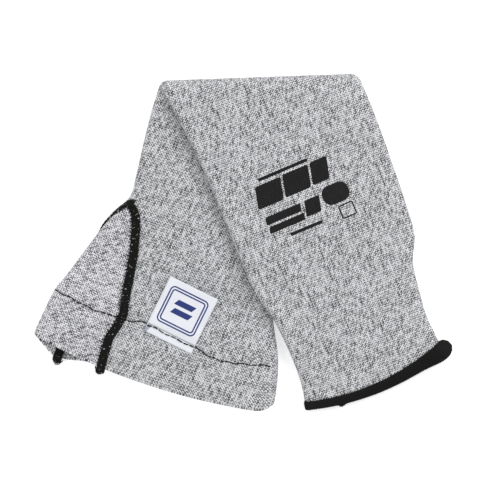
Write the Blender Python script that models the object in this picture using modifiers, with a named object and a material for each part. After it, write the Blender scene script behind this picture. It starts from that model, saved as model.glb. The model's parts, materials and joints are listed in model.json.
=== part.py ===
"""A knitted arm sleeve lying on a table, folded once in half.

The sleeve is a flattened tube. Its arm half lies on the table and its wrist half is folded over it.
The arm half has a gusset let in by two overlocked seams, a hem turned inwards and a label caught in the hem stitching.
The wrist half ends in an overlocked edge.

Every outline is written in millimetres in the fold's own axes: x runs along the fold, y away from the sleeve
and z up from the table, with the middle of the fold at x = y = 0.
"""

import math

import bpy
from mathutils import Vector

MM = 0.001

# Fabric
KNIT = 1.0                  # thickness of one layer of knit
GAP = 0.3                   # clearance between pieces that touch
HOLLOW = 5.8                # height of the hollow inside the flattened tube
CREASE_WIDTH = 4.0          # how far in from a side crease the tube reaches its full height
HALF_HEIGHT = (HOLLOW + KNIT) / 2
TUBE_HEIGHT = HOLLOW + 2 * KNIT

# Fold
PATH_RADIUS = (TUBE_HEIGHT + GAP) / 2
FOLD_AXIS_Y = -(TUBE_HEIGHT + GAP / 2)
FOLD_AXIS_Z = TUBE_HEIGHT + GAP / 2
JOIN_Y = -16.0              # where the folded stretch meets the two halves
LEG_TILT = math.radians(20)  # each half leans this far from the fold's normal

# Arm mouth
MOUTH_RISE = 1.9            # extra half height where the hem holds the mouth open
RISE_START = 119.0
RISE_LENGTH = 28.0
HEM_INNER_EDGE = 6.75       # stations counted from the fold, see ARM
HEM_STITCH = 7.0
FINE_ROWS_FROM = 6.0
THREAD = 0.2                # radius of the hem thread
THREAD_CLEARANCE = 0.1
THREAD_LIFT = 2 * THREAD + THREAD_CLEARANCE
THREAD_LIFT_STATIONS = 0.4

# Overlocked seams and edge
SEAM_WIDTH = 4.8
SEAM_RIDGE = 0.5            # how far the upper seam stands above the knit
EDGE_THICKNESS = 1.9

# Droop of the wrist half beside the arm half, down to where its edge meets the table
DROOP = TUBE_HEIGHT + GAP - (EDGE_THICKNESS - KNIT) / 2
DROOP_START = 2.0
DROOP_LENGTH = 34.0

# Label
LABEL_THICKNESS = 0.4
LABEL_WIDTH = 29.2
LABEL_FACE = 28.8
LABEL_TAIL = 4.6
LABEL_MIDDLE = Vector((-53.1, -139.5, 0.0))
LABEL_TURN = math.radians(-28.4)
LABEL_SLOT = 0.8            # from the stitching line to each part of the label
LABEL_CLEARANCE = 0.2

# Row frame: the fold's middle, measured from the middle of the object's footprint
FOLD_MIDDLE = Vector((13.94, 92.02, 0.0))

# Each station is (left crease x, y, right crease x, y, bulge of the row towards the mouth)
ARM = [
    (-59.2, -16.0, 46.8, -16.0, 0.0),
    (-64.5, -34.5, 38.5, -34.0, 0.0),
    (-69.0, -51.5, 29.5, -56.0, 0.0),
    (-72.8, -62.8, 24.0, -70.0, 0.0),
    (-83.0, -72.9, 17.5, -88.0, 0.0),
    (-97.4, -89.9, 8.5, -111.5, 0.0),
    (-109.0, -104.5, 3.0, -130.0, 0.0),
    (-116.6, -113.5, 4.8, -158.0, 1.0),
    (-128.3, -136.0, 0.3, -183.6, 6.5),
]
WRIST = [
    (-46.8, -16.0, 60.4, -16.0, 0.0),
    (-38.0, -34.8, 67.0, -35.0, 0.0),
    (-29.0, -56.6, 73.0, -53.5, 0.0),
    (-21.5, -76.5, 78.0, -70.5, 0.0),
    (-14.0, -97.0, 82.6, -89.0, 0.0),
    (-6.0, -117.5, 81.2, -104.5, 0.0),
    (3.2, -131.8, 84.4, -121.5, 0.5),
    (10.5, -147.5, 87.8, -134.8, 2.0),
    (17.2, -166.0, 91.5, -143.5, 4.5),
    (19.7, -179.0, 94.0, -148.9, 6.4),
    (20.5, -183.9, 100.3, -154.0, 6.4),
]
KNIT_END = 9.0              # the wrist edge runs from here to the last station
STATION_GAP = 0.015         # clearances along a half, in stations
EDGE_GAP = 0.08
SEAM_GAP = 0.5              # between a seam and the cloth beside it
UPPER_SEAM = [(-73.2, -66.2), (-70.4, -73.0), (-70.4, -80.0), (-72.1, -93.9), (-74.6, -105.9), (-76.9, -115.8),
              (-79.0, -127.5), (-82.7, -133.8), (-87.2, -140.0), (-90.0, -148.4), (-93.4, -160.0)]
LOWER_SEAM = [(-84.5, -75.0), (-93.0, -92.0), (-101.0, -110.0), (-108.0, -128.0), (-115.5, -147.5)]
UPPER_SEAM_START = 3.3      # stations where each seam and each side of the gusset leaves the crease
LOWER_SEAM_START = 4.4
UPPER_GUSSET_START = 3.6
LOWER_GUSSET_START = 5.0
HEM_LINE = [(-114.0, -113.8), (-107.3, -117.5), (-95.1, -124.3), (-82.0, -128.7), (-76.6, -131.0), (-65.9, -132.6),
            (-53.1, -139.5), (-40.3, -146.4), (-33.3, -151.8), (-24.1, -155.4), (-13.0, -157.2), (1.0, -158.7)]

CREASE_ANGLES = [math.radians(a) for a in (0, 22, 45, 68, 90)]

COLOURS = {
    "knit": (0.42, 0.43, 0.42),
    "gusset": (0.36, 0.37, 0.37),
    "thread": (0.016, 0.016, 0.015),
    "label": (0.80, 0.83, 0.88),
}


# ---------------------------------------------------------------- curves and surfaces

def smoothstep(value):
    value = min(max(value, 0.0), 1.0)
    return value * value * (3 - 2 * value)


def catmull(points, u):
    """The point at u on a smooth curve that passes points[0] at 0, points[1] at 1, and so on."""
    u = min(max(u, 0.0), len(points) - 1)
    i = min(int(u), len(points) - 2)
    f = u - i
    p1, p2 = points[i], points[i + 1]
    p0 = points[i - 1] if i > 0 else tuple(2 * a - b for a, b in zip(p1, p2))
    p3 = points[i + 2] if i + 2 < len(points) else tuple(2 * b - a for a, b in zip(p1, p2))
    return tuple(
        0.5 * (2 * b + (c - a) * f + (2 * a - 5 * b + 4 * c - d) * f ** 2 + (3 * b - 3 * c + d - a) * f ** 3)
        for a, b, c, d in zip(p0, p1, p2, p3)
    )


def line_x(line, y):
    """x where a line that runs down the arm half passes the height y."""
    for (x0, y0), (x1, y1) in zip(line, line[1:]):
        if y >= y1:
            break
    return x0 + (x1 - x0) * (y - y0) / (y1 - y0)


def along_arm(x, y):
    """Distance from the fold, measured along the arm half."""
    return -x * math.sin(LEG_TILT) - y * math.cos(LEG_TILT)


def droop(x, y):
    """How far the wrist half sinks where the arm half no longer carries it."""
    beyond = (x - 54.0) * 0.930 - y * 0.366
    return DROOP * smoothstep((beyond - DROOP_START) / DROOP_LENGTH) * smoothstep((JOIN_Y - y) / DROOP_LENGTH)


def half_height(half, x, y):
    """From the tube's middle surface to the middle of one layer of knit."""
    if half is WRIST:
        return HALF_HEIGHT
    return HALF_HEIGHT + MOUTH_RISE * smoothstep((along_arm(x, y) - RISE_START) / RISE_LENGTH)


def middle_z(half, x, y):
    """Height of the tube's middle surface above the table."""
    if half is WRIST:
        return 1.5 * TUBE_HEIGHT + GAP - droop(x, y)
    return KNIT / 2 + half_height(half, x, y)


def row_point(half, station, share):
    """A point in plan, at a share of the way from the left crease to the right one."""
    lx, ly, rx, ry, bulge = catmull(half, station)
    lean = LEG_TILT if half is WRIST else -LEG_TILT
    bow = 4 * bulge * share * (1 - share)
    x = lx + (rx - lx) * share + bow * math.sin(lean)
    y = ly + (ry - ly) * share - bow * math.cos(lean)
    return x, y


def row_width(half, station):
    lx, ly, rx, ry, _ = catmull(half, station)
    return math.hypot(rx - lx, ry - ly)


def seam_share(station, line, shift):
    """Share of the row where it meets a seam line moved sideways by shift."""
    low, high = 0.0, 1.0
    for _ in range(30):
        share = (low + high) / 2
        x, y = row_point(ARM, station, share)
        if x < line_x(line, y) + shift:
            low = share
        else:
            high = share
    return low


def beside_seam(line, start, shift):
    """Where a layer ends: on the crease (None) above the seam's start, and beside the seam below it."""
    return lambda station: seam_share(station, line, shift) if station >= start else None


def rise(distance, width, depth):
    """0 on a side crease, 1 where the tube has its full height."""
    inset = (min(distance, width - distance) - depth) / (CREASE_WIDTH - depth)
    return math.sqrt(max(1 - (1 - inset) ** 2, 0.0)) if inset < 1 else 1.0


def spread(width, start, stop, count, depth):
    """(distance from the left crease, rise) pairs across a row, set closer together near both ends.

    start and stop are None where the layer runs round a side crease, and distances where it ends on the flat.
    """
    low = depth if start is None else max(start, depth)
    high = width - depth if stop is None else stop
    turn = min(CREASE_WIDTH - depth, (high - low) / 2.2)
    bend = [turn * (1 - math.cos(a)) for a in CREASE_ANGLES]
    inner = [low + turn + (high - low - 2 * turn) * k / count for k in range(1, count)]
    distances = [low + b for b in bend] + inner + [high - b for b in reversed(bend)]
    return [(d, rise(d, width, depth)) for d in distances]


def stations(first, last):
    """Rows a half station apart, and a quarter near the arm mouth, with first and last among them."""
    quarters = range(math.ceil(first * 4 + 0.4), math.floor(last * 4 - 0.4) + 1)
    between = [q / 4 for q in quarters if q % 2 == 0 or q / 4 > FINE_ROWS_FROM]
    return [first] + between + [last]


def thread_lift(station):
    """The lower layer is drawn up where the hem is stitched, so that the thread clears the table."""
    return THREAD_LIFT * math.exp(-((station - HEM_STITCH) / THREAD_LIFT_STATIONS) ** 2)


def layer(half, side, first, last, start=None, stop=None, depth=0.0, outward=0.0, count=8, apart=GAP / 2):
    """Rows of points on one layer of a half. side is 1 for the upper layer and -1 for the lower one.

    apart is the height at which the layer starts beside a crease, measured from the tube's middle surface.
    """
    grid = []
    for station in stations(first, last):
        width = row_width(half, station)
        from_share = start(station) if start else None
        to_share = stop(station) if stop else None
        low = None if from_share is None else from_share * width
        high = None if to_share is None else to_share * width
        row = []
        for distance, lift in spread(width, low, high, count, depth):
            x, y = row_point(half, station, distance / width)
            reach = half_height(half, x, y) - depth + outward
            z = middle_z(half, x, y) + side * (apart + (reach - apart) * lift)
            if half is ARM and side < 0:
                z += thread_lift(station) * lift
            row.append((x, y, z))
        grid.append(row)
    return grid


def fold_layer(side, count=8, turns=10):
    """Rows of the folded stretch. side is 1 for the outer layer and -1 for the inner one."""
    flat = FOLD_AXIS_Y - JOIN_Y
    bend = math.pi * PATH_RADIUS
    whole = 2 * flat + bend
    stops = [0.0, flat / 2] + [flat + bend * k / turns for k in range(turns + 1)] + [whole - flat / 2, whole]
    grid = []
    for stop in stops:
        share = stop / whole
        left = ARM[0][0] + (WRIST[0][0] - ARM[0][0]) * share
        right = ARM[0][2] + (WRIST[0][2] - ARM[0][2]) * share
        angle = min(max(stop - flat, 0.0), bend) / PATH_RADIUS - math.pi / 2
        straight = max(flat - stop, stop - flat - bend, 0.0)
        row = []
        for distance, lift in spread(right - left, None, None, count, 0.0):
            radius = PATH_RADIUS + side * (GAP / 2 + (HALF_HEIGHT - GAP / 2) * lift)
            y = FOLD_AXIS_Y - straight + radius * math.cos(angle)
            z = FOLD_AXIS_Z + radius * math.sin(angle)
            row.append((left + distance, y, z))
        grid.append(row)
    return grid


# ---------------------------------------------------------------- Blender objects

def clear_scene():
    for item in list(bpy.data.objects):
        bpy.data.objects.remove(item, do_unlink=True)


def material(name):
    made = bpy.data.materials.new(name)
    made.use_nodes = True
    shader = made.node_tree.nodes["Principled BSDF"]
    shader.inputs["Base Color"].default_value = (*COLOURS[name.split(".")[0]], 1.0)
    shader.inputs["Roughness"].default_value = 0.9
    shader.inputs["Metallic"].default_value = 0.0
    return made


def to_row_frame(point):
    return (Vector(point) + FOLD_MIDDLE) * MM


def pivot(name, point, collection):
    empty = bpy.data.objects.new(name, None)
    empty.empty_display_size = 0.02
    empty.location = to_row_frame(point)
    collection.objects.link(empty)
    return empty


def finish(shape, kind, parent, collection):
    shape.data.materials.append(material(f"{kind}.{shape.name}"))
    collection.objects.link(shape)
    shape.parent = parent
    return shape


def cloth(name, grid, kind, parent, collection, thickness=KNIT):
    """A layer of cloth: an open surface through the rows of points, thickened evenly about its middle."""
    columns = len(grid[0])
    points = [to_row_frame(p) - parent.location for row in grid for p in row]
    faces = [
        (i * columns + j, i * columns + j + 1, (i + 1) * columns + j + 1, (i + 1) * columns + j)
        for i in range(len(grid) - 1)
        for j in range(columns - 1)
    ]
    mesh = bpy.data.meshes.new(name)
    mesh.from_pydata(points, [], faces)
    mesh.shade_smooth()
    shape = finish(bpy.data.objects.new(name, mesh), kind, parent, collection)
    shell = shape.modifiers.new("thickness", "SOLIDIFY")
    shell.thickness = thickness * MM
    shell.offset = 0.0
    shell.use_even_offset = True
    return shape


def thread(name, points, parent, collection):
    """A run of sewing thread through the points."""
    curve = bpy.data.curves.new(name, "CURVE")
    curve.dimensions = "3D"
    curve.bevel_depth = THREAD * MM
    curve.bevel_resolution = 1
    curve.use_fill_caps = True
    spline = curve.splines.new("POLY")
    spline.points.add(len(points) - 1)
    for knot, point in zip(spline.points, points):
        knot.co = (*(to_row_frame(point) - parent.location), 1.0)
    return finish(bpy.data.objects.new(name, curve), "thread", parent, collection)


# ---------------------------------------------------------------- pieces

def arm_half(root, collection):
    """The four plain layers of the arm half: knit above and below, and the two sides of the gusset."""
    beside = SEAM_WIDTH / 2 + SEAM_GAP
    mouth = len(ARM) - 1
    upper = layer(ARM, 1, STATION_GAP, mouth, start=beside_seam(UPPER_SEAM, UPPER_SEAM_START, beside))
    lower = layer(ARM, -1, STATION_GAP, mouth, start=beside_seam(LOWER_SEAM, LOWER_SEAM_START, beside))
    cloth("arm_upper_knit", upper, "knit", root, collection)
    cloth("arm_lower_knit", lower, "knit", root, collection)
    upper = layer(ARM, 1, UPPER_GUSSET_START, mouth, stop=beside_seam(UPPER_SEAM, 0, -beside), count=4)
    lower = layer(ARM, -1, LOWER_GUSSET_START, mouth, stop=beside_seam(LOWER_SEAM, 0, -beside), count=3)
    cloth("gusset_upper", upper, "gusset", root, collection)
    cloth("gusset_lower", lower, "gusset", root, collection)


def seams(root, collection):
    """The overlocked seams that hold the gusset in. The upper one stands above the knit as a ridge."""
    half = SEAM_WIDTH / 2
    mouth = len(ARM) - 1
    for name, line, start, side, ridge in (
        ("gusset_seam_upper", UPPER_SEAM, UPPER_SEAM_START + 0.2, 1, SEAM_RIDGE),
        ("gusset_seam_lower", LOWER_SEAM, LOWER_SEAM_START + 0.2, -1, 0.0),
    ):
        left, right = beside_seam(line, 0, -half), beside_seam(line, 0, half)
        grid = layer(ARM, side, start, mouth, start=left, stop=right, outward=ridge / 2, count=2)
        cloth(name, grid, "thread", root, collection, KNIT + ridge)


def hem(root, collection):
    """The end of the sleeve, turned inwards, and the thread that holds it."""
    mouth = len(ARM) - 1
    for name, side in (("hem_upper", 1), ("hem_lower", -1)):
        cloth(name, layer(ARM, side, HEM_INNER_EDGE, mouth, depth=KNIT + GAP), "knit", root, collection)
    above = KNIT / 2 + THREAD_CLEARANCE + THREAD
    points = []
    for k in range(61):
        x, y = catmull(HEM_LINE, (len(HEM_LINE) - 1) * k / 60)
        hop = SEAM_RIDGE * smoothstep((SEAM_WIDTH - abs(x - line_x(UPPER_SEAM, y))) / 2)
        points.append((x, y, middle_z(ARM, x, y) + half_height(ARM, x, y) + above + hop))
    thread("hem_stitching_upper", points, root, collection)
    points = []
    for k in range(41):
        x, y = row_point(ARM, HEM_STITCH, 0.04 + 0.92 * k / 40)
        points.append((x, y, middle_z(ARM, x, y) - half_height(ARM, x, y) - above + THREAD_LIFT))
    thread("hem_stitching_lower", points, root, collection)


def label_part(name, near, far, steps, parent, collection):
    """A stretch of the woven label, from near to far of the stitching line."""
    across = Vector((math.cos(LABEL_TURN), math.sin(LABEL_TURN), 0.0))
    up = Vector((-math.sin(LABEL_TURN), math.cos(LABEL_TURN), 0.0))
    grid = []
    for i in range(steps + 1):
        row = []
        for j in range(5):
            point = LABEL_MIDDLE + across * LABEL_WIDTH * (j / 4 - 0.5) + up * (near + (far - near) * i / steps)
            top = KNIT + 2 * half_height(ARM, point.x, point.y)
            row.append((point.x, point.y, top + LABEL_CLEARANCE + LABEL_THICKNESS / 2))
        grid.append(row)
    cloth(name, grid, "label", parent, collection, LABEL_THICKNESS)


def label(root, collection):
    """The woven label, caught in the hem stitching. Its face swings about the stitching."""
    top = KNIT + 2 * half_height(ARM, LABEL_MIDDLE.x, LABEL_MIDDLE.y)
    axis = pivot("label_axis", LABEL_MIDDLE + Vector((0, 0, top + LABEL_CLEARANCE + LABEL_THICKNESS / 2)), collection)
    label_part("label_face", LABEL_SLOT, LABEL_FACE, 8, axis, collection)
    label_part("label_tail", -LABEL_SLOT, -LABEL_TAIL, 2, root, collection)


def wrist_half(axis, collection):
    """The two layers of the wrist half and the overlocked edge of its mouth."""
    end = len(WRIST) - 1
    for name, side in (("upper", 1), ("lower", -1)):
        knit = layer(WRIST, side, STATION_GAP, KNIT_END)
        cloth(f"wrist_{name}_knit", knit, "knit", axis, collection)
        edge = layer(WRIST, side, KNIT_END + EDGE_GAP, end, apart=EDGE_THICKNESS / 3)
        cloth(f"wrist_edge_{name}", edge, "thread", axis, collection, EDGE_THICKNESS)


def fold(root, collection):
    """The stretch of the tube that bends round the fold, which changes shape as the sleeve opens."""
    cloth("fold_outer_knit", fold_layer(1), "knit", root, collection)
    cloth("fold_inner_knit", fold_layer(-1), "knit", root, collection)


def main():
    clear_scene()
    collection = bpy.data.collections.new("arm_sleeve")
    bpy.context.scene.collection.children.link(collection)
    root = pivot("sleeve", (0, 0, 0), collection)
    fold_axis = pivot("fold_axis", (0, FOLD_AXIS_Y, FOLD_AXIS_Z), collection)
    arm_half(root, collection)
    seams(root, collection)
    hem(root, collection)
    label(root, collection)
    fold(root, collection)
    wrist_half(fold_axis, collection)


if __name__ == "__main__":
    main()
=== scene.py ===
"""A cut resistant knitted arm sleeve, folded once in half and lying flat.

The sleeve is a knitted tube with a gusset let into its wide half. Every outline is in millimetres in the fold's own
axes: x along the fold, y away from the sleeve, z up from the table, from the middle of the fold. Pieces are moved to
the frame's own place, in metres, as their meshes are made.
"""

import bisect
import json
import math
import random

import bpy
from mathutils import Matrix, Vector, noise


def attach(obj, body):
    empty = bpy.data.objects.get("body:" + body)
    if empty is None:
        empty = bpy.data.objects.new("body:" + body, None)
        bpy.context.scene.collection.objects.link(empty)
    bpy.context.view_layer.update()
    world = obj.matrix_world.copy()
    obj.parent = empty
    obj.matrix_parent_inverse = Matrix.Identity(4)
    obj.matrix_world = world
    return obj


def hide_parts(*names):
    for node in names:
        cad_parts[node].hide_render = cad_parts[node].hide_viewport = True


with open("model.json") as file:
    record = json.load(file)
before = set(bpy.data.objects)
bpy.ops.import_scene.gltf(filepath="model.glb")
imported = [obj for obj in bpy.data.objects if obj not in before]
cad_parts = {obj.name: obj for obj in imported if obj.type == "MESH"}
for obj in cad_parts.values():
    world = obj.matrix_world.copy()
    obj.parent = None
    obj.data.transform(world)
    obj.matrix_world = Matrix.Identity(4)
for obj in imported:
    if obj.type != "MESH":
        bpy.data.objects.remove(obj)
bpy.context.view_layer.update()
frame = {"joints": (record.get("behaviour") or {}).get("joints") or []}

bl_info = {
    "name": "Folded Knitted Arm Sleeve",
    "version": (1, 0, 0),
    "blender": (4, 5, 0),
    "location": "View3D > Sidebar > Arm Sleeve",
    "description": "Makes a cut resistant knitted arm sleeve with its seams, hem, label and overlocked edge",
    "category": "Add Mesh",
}

MM = 0.001
FOLD_JOINT = next(joint for joint in frame["joints"] if joint["name"] == "fold")

# The flattened and folded tube, as the CAD has it
KNIT = 1.0                  # one layer of knit
GAP = 0.3                   # between cloth that lies on cloth
HALF_HEIGHT = 3.4           # from the tube's middle surface to the middle of a layer
TUBE_HEIGHT = 7.8
CREASE_WIDTH = 4.0          # how far in from a side crease the tube reaches its full height
CREASE_BEND = math.pi * (CREASE_WIDTH + HALF_HEIGHT) / 4    # cloth in half of a side crease
CREASE_EXTRA = CREASE_BEND - CREASE_WIDTH
PATH_RADIUS = 4.05          # of the tube's middle surface round the fold
FOLD_AXIS_Y = -7.95
FOLD_AXIS_Z = 7.95
FOLD_SPREAD = 1.1           # the cloth bulges by this much at the tip of the fold, outward and sideways
JOIN_Y = -16.0              # where both halves' stations start
FLAT_BY_FOLD = FOLD_AXIS_Y - JOIN_Y
TO_FOLD_TIP = FLAT_BY_FOLD + math.pi * PATH_RADIUS / 2
FOLD_TIP_Y = JOIN_Y + TO_FOLD_TIP
FOLD_TIP = -1.0             # station of the fold's tip
LEG_TILT = math.radians(20)    # between the fold's y axis and each half's length
MOUTH_RISE, RISE_START, RISE_LENGTH = 1.9, 119.0, 28.0    # the arm half is fuller towards its mouth
DROOP, DROOP_START, DROOP_LENGTH = 7.65, 2.0, 34.0
CARRIED_TO = 54.0           # the arm half carries the wrist half as far as a line that leaves the fold at this x,
CARRIED_OUT = (0.930, -0.366)    # and this is the direction square to that line
HEM_DEPTH = KNIT + GAP
HEM_INNER_EDGE = 6.75       # stations of the hem's inner edge and of its stitching
HEM_STITCH = 7.0
SEAM_INSIDE = 4.5           # how far the gusset's seams run back up inside the hem
SEAM_END_SWELL = 2.0        # a seam's loops bunch up on the mouth's edge, by this many times their height,
SEAM_END_SLANT = 0.3        # more on the side away from the thick thread,
SEAM_END_ROUND = 0.3        # and less at both sides than in the middle

# Each station is (left crease x, y, right crease x, y, bulge of the row towards the mouth)
ARM = [
    (-59.2, -16.0, 46.8, -16.0, 0.0),
    (-64.5, -34.5, 38.5, -34.0, 0.0),
    (-69.0, -51.5, 29.5, -56.0, 0.0),
    (-72.8, -62.8, 24.0, -70.0, 0.0),
    (-83.0, -72.9, 17.5, -88.0, 0.0),
    (-97.4, -89.9, 8.5, -111.5, 0.0),
    (-109.0, -104.5, 3.0, -130.0, 0.0),
    (-116.6, -113.5, 4.8, -158.0, 1.0),
    (-128.3, -136.0, 0.3, -183.6, 6.5),
]
WRIST = [
    (-46.8, -16.0, 60.4, -16.0, 0.0),
    (-38.0, -34.8, 67.0, -35.0, 0.0),
    (-29.0, -56.6, 73.0, -53.5, 0.0),
    (-21.5, -76.5, 78.0, -70.5, 0.0),
    (-14.0, -97.0, 82.6, -89.0, 0.0),
    (-6.0, -117.5, 81.2, -104.5, 0.0),
    (3.2, -131.8, 84.4, -121.5, 0.5),
    (10.5, -147.5, 87.8, -134.8, 2.0),
    (17.2, -166.0, 91.5, -143.5, 4.5),
    (19.7, -179.0, 94.0, -148.9, 6.4),
    (20.5, -183.9, 100.3, -154.0, 6.4),
]
ARM_MOUTH = len(ARM) - 1.0
KNIT_END = 9.0              # the overlocked edge covers the wrist half from here on
WRIST_MOUTH = len(WRIST) - 1.0
KNIT_IN_EDGE = 0.25         # the knit stops this much short of the mouth, inside the edge
# The wrist edge, with places along it measured from the nearer crease
EDGE_SWELL = Vector((1.2, -1.8, 0.0))    # it is fuller towards its right end, which is round
EDGE_SWELL_AT, EDGE_SWELL_LENGTH = 6.0, 9.0
EDGE_END = Vector((96.8, -152.6, 0.0))
EDGE_END_RADIUS, EDGE_END_LENGTH = 3.8, 6.0
EDGE_END_FROM, EDGE_END_TO = 140, -45    # degrees that the band turns through round that end
EDGE_KNOT = Vector((-0.5, -1.3, 0.0))    # and has a knot of thread near its left end
EDGE_KNOT_AT, EDGE_KNOT_LENGTH = 21.0, 1.7
# How far the arm half's mouth is rounded back at a corner, and over how much cloth
RIGHT_CORNER = (5.5, 11.0)
LEFT_CORNER = (1.2, 7.0)
LOWER_SHOWS = 5.4           # the lower layer shows this far past the upper one at the left of the mouth
LOWER_SHOWS_RISE, LOWER_SHOWS_END, LOWER_SHOWS_FALL = 16.0, 38.0, 22.0
# The cloth's slow waves, and how it lies by its stitching and seams
WAVE_LENGTH, WAVE_DEPTH = 27.0, 0.75
FINE_WAVES, FINE_DEPTH = 3.1, 0.3        # finer waves, this many to a slow one
STITCH_PITCH, STITCH_WIDTH, STITCH_DEPTH = 2.9, 1.5, 0.75
HEM_FULLNESS, HEM_FULL_FROM, HEM_FULL_LENGTH = 0.55, 1.0, 6.0
STITCH_ARCH, STITCH_ARCH_WIDTH = 0.6, 2.5
SEAM_ARCH, SEAM_ARCH_WIDTH = 1.1, 5.0
UPPER_SEAM = [(-73.2, -66.2), (-70.4, -73.0), (-70.4, -80.0), (-72.1, -93.9), (-74.6, -105.9), (-76.9, -115.8),
              (-79.0, -127.5), (-82.7, -133.8), (-87.2, -140.0), (-90.0, -148.4), (-93.4, -160.0)]
LOWER_SEAM = [(-84.5, -75.0), (-93.0, -92.0), (-101.0, -110.0), (-108.0, -128.0), (-115.5, -147.5)]
HEM_LINE = [(-116.4, -112.5), (-107.3, -117.5), (-95.1, -124.3), (-82.0, -128.7), (-76.6, -131.0), (-65.9, -132.6),
            (-53.1, -139.5), (-40.3, -146.4), (-33.3, -151.8), (-24.1, -155.4), (-13.0, -157.2), (1.0, -158.7)]
GUSSET_TIP = 3.25           # station where the gusset starts, and how far round from the crease
GUSSET_TIP_ROUND = 3.8
UPPER_SEAM_PARTS = 0.25     # stations over which the upper seam leaves the tip for UPPER_SEAM
LOWER_SEAM_UNDER = 4.45     # station from which the lower seam follows LOWER_SEAM
LOWER_SEAM_BEND = 1.4       # above 1, it turns under late
HEM_STITCHES = 44
STITCH_BITE = 0.4           # the stitching presses this far into the label
THREAD_SIDES = 6
SEAM_ROW = 0.7              # between mesh rows along a seam
# Mesh rows of the cloth
FOLD_ROWS = 9
ARM_ROWS_PER_STATION = 14
WRIST_ROWS = 136
TURNED_EDGE_ROWS = 6
HEM_ROWS = 16

# Label
LABEL_MIDDLE = Vector((-53.1, -139.5, 0.0))
LABEL_TURN = math.radians(-28.4)
LABEL_ACROSS = Vector((math.cos(LABEL_TURN), math.sin(LABEL_TURN), 0.0))
LABEL_UP = Vector((-math.sin(LABEL_TURN), math.cos(LABEL_TURN), 0.0))
LABEL_WIDTH, LABEL_HEIGHT, LABEL_TAIL = 29.2, 28.8, 4.6
LABEL_THICKNESS = 0.4
LABEL_LIFT = 0.4            # from the knit's top to the middle of the label
LABEL_WAVE, LABEL_WAVE_LENGTH = 0.25, 11.0
LABEL_SLIT = 0.1            # between the stitching line and each part of the label
STITCH_PAST_LABEL = 0.6     # the stitching starts to climb this far beside the label
STITCH_OFF_BEND = 0.9       # and crosses it this far to the tail's side of where the label bends

# Stage, in metres; the aim is in the fold's axes
FLOOR_HALF = 3.0
CAMERA_HEIGHT = 1.6
CAMERA_VIEW = 0.2672        # width of the view at the height of the fold's axis
CAMERA_AIM = (-12.045, -90.267, 0.0)
CAMERA_TURN = math.radians(2.045)
LIGHTS = (
    # name, place, width, power
    ("key", (0.85, 0.75, 1.25), 1.3, 15.5),
    ("fill", (-1.1, -0.2, 1.2), 1.2, 5.0),
)


# -------- sizes and colours

def srgb(hex_colour):
    """An sRGB hex colour as linear RGBA."""
    parts = [int(hex_colour[i:i + 2], 16) / 255 for i in (1, 3, 5)]
    return (*[p / 12.92 if p <= 0.04045 else ((p + 0.055) / 1.055) ** 2.4 for p in parts], 1.0)


def length_property(name, description, default):
    return bpy.props.FloatProperty(name=name, description=description, default=default * MM, min=0.0,
                                   unit="LENGTH", precision=5)


def colour_property(name, description, default):
    return bpy.props.FloatVectorProperty(name=name, description=description, default=srgb(default),
                                         subtype="COLOR", size=4, min=0.0, max=1.0)


class SleeveSizes(bpy.types.PropertyGroup):
    """Sizes of the sleeve's cloth and thread"""

    knit: length_property("Knit thickness", "Thickness of one layer of knit", KNIT)
    wale: length_property("Wale spacing", "Width of one column of knitted loops", 1.72)
    course: length_property("Course spacing", "Height of one row of knitted loops", 1.5)
    mesh_step: length_property("Mesh step", "Spacing of the rows and columns of the cloth's mesh", 1.3)
    seam_width: length_property("Seam width", "Width of the overlocked gusset seams", 4.8)
    seam_pitch: length_property("Seam stitch pitch", "Distance between stitches of the overlocking", 0.95)
    thread: length_property("Thread thickness", "Thickness of the overlocking thread", 0.56)
    hem_thread: length_property("Hem thread thickness", "Thickness of the hem's sewing thread", 0.72)
    label_width: length_property("Label width", "Width of the woven label", LABEL_WIDTH)
    label_height: length_property("Label height", "Height of the label above the stitching",
                                  LABEL_HEIGHT)
    label_tail: length_property("Label tail", "Height of the label below the stitching", LABEL_TAIL)


class SleeveColours(bpy.types.PropertyGroup):
    """Colours of the sleeve's cloth and thread"""

    knit: colour_property("Knit", "Light yarn of the heather knit", "#e2e3e6")
    # the dark end of the knit's colour: real dark fibres of the heather, and painted shade in the gaps between loops
    dark_fibres_and_gap_shade: colour_property("Knit dark", "Dark fibres and the gaps between loops", "#343538")
    # painted light: a lighter copy of the knit's colour, for the way light catches the gusset's loops that run across
    gusset: colour_property("Gusset", "Light yarn of the gusset", "#ebebf0")
    thread: colour_property("Thread", "Black overlocking and sewing thread", "#0f0e0d")
    ink: colour_property("Ink", "Printed marks on the wrist half", "#121213")
    label: colour_property("Label", "White satin of the label", "#e3e5ec")
    label_mark: colour_property("Label mark", "Blue woven mark of the label", "#142c70")


# -------- curves and the tube's surface

def smoothstep(value):
    """0 below 0, 1 above 1, and a smooth rise between."""
    value = min(max(value, 0.0), 1.0)
    return value * value * (3 - 2 * value)


def mix(a, b, share):
    return a + (b - a) * share


def hump(distance, width):
    """1 in the middle of a smooth hump, and about a third at width from there."""
    return math.exp(-(distance / width) ** 2)


def catmull(points, u):
    """The point at u on a smooth curve that passes points[0] at 0, points[1] at 1, and so on."""
    u = min(max(u, 0.0), len(points) - 1)
    i = min(int(u), len(points) - 2)
    f = u - i
    p1, p2 = points[i], points[i + 1]
    p0 = points[i - 1] if i > 0 else tuple(2 * a - b for a, b in zip(p1, p2))
    p3 = points[i + 2] if i + 2 < len(points) else tuple(2 * b - a for a, b in zip(p1, p2))
    return tuple(
        0.5 * (2 * b + (c - a) * f + (2 * a - 5 * b + 4 * c - d) * f ** 2 + (3 * b - 3 * c + d - a) * f ** 3)
        for a, b, c, d in zip(p0, p1, p2, p3)
    )


def line_x(line, y):
    """x where a line that runs down the arm half passes the height y."""
    for (x0, y0), (x1, y1) in zip(line, line[1:]):
        if y >= y1:
            break
    return x0 + (x1 - x0) * (y - y0) / (y1 - y0)


HEM_CURVE = [catmull(HEM_LINE, (len(HEM_LINE) - 1) * k / 240) for k in range(241)]


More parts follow.
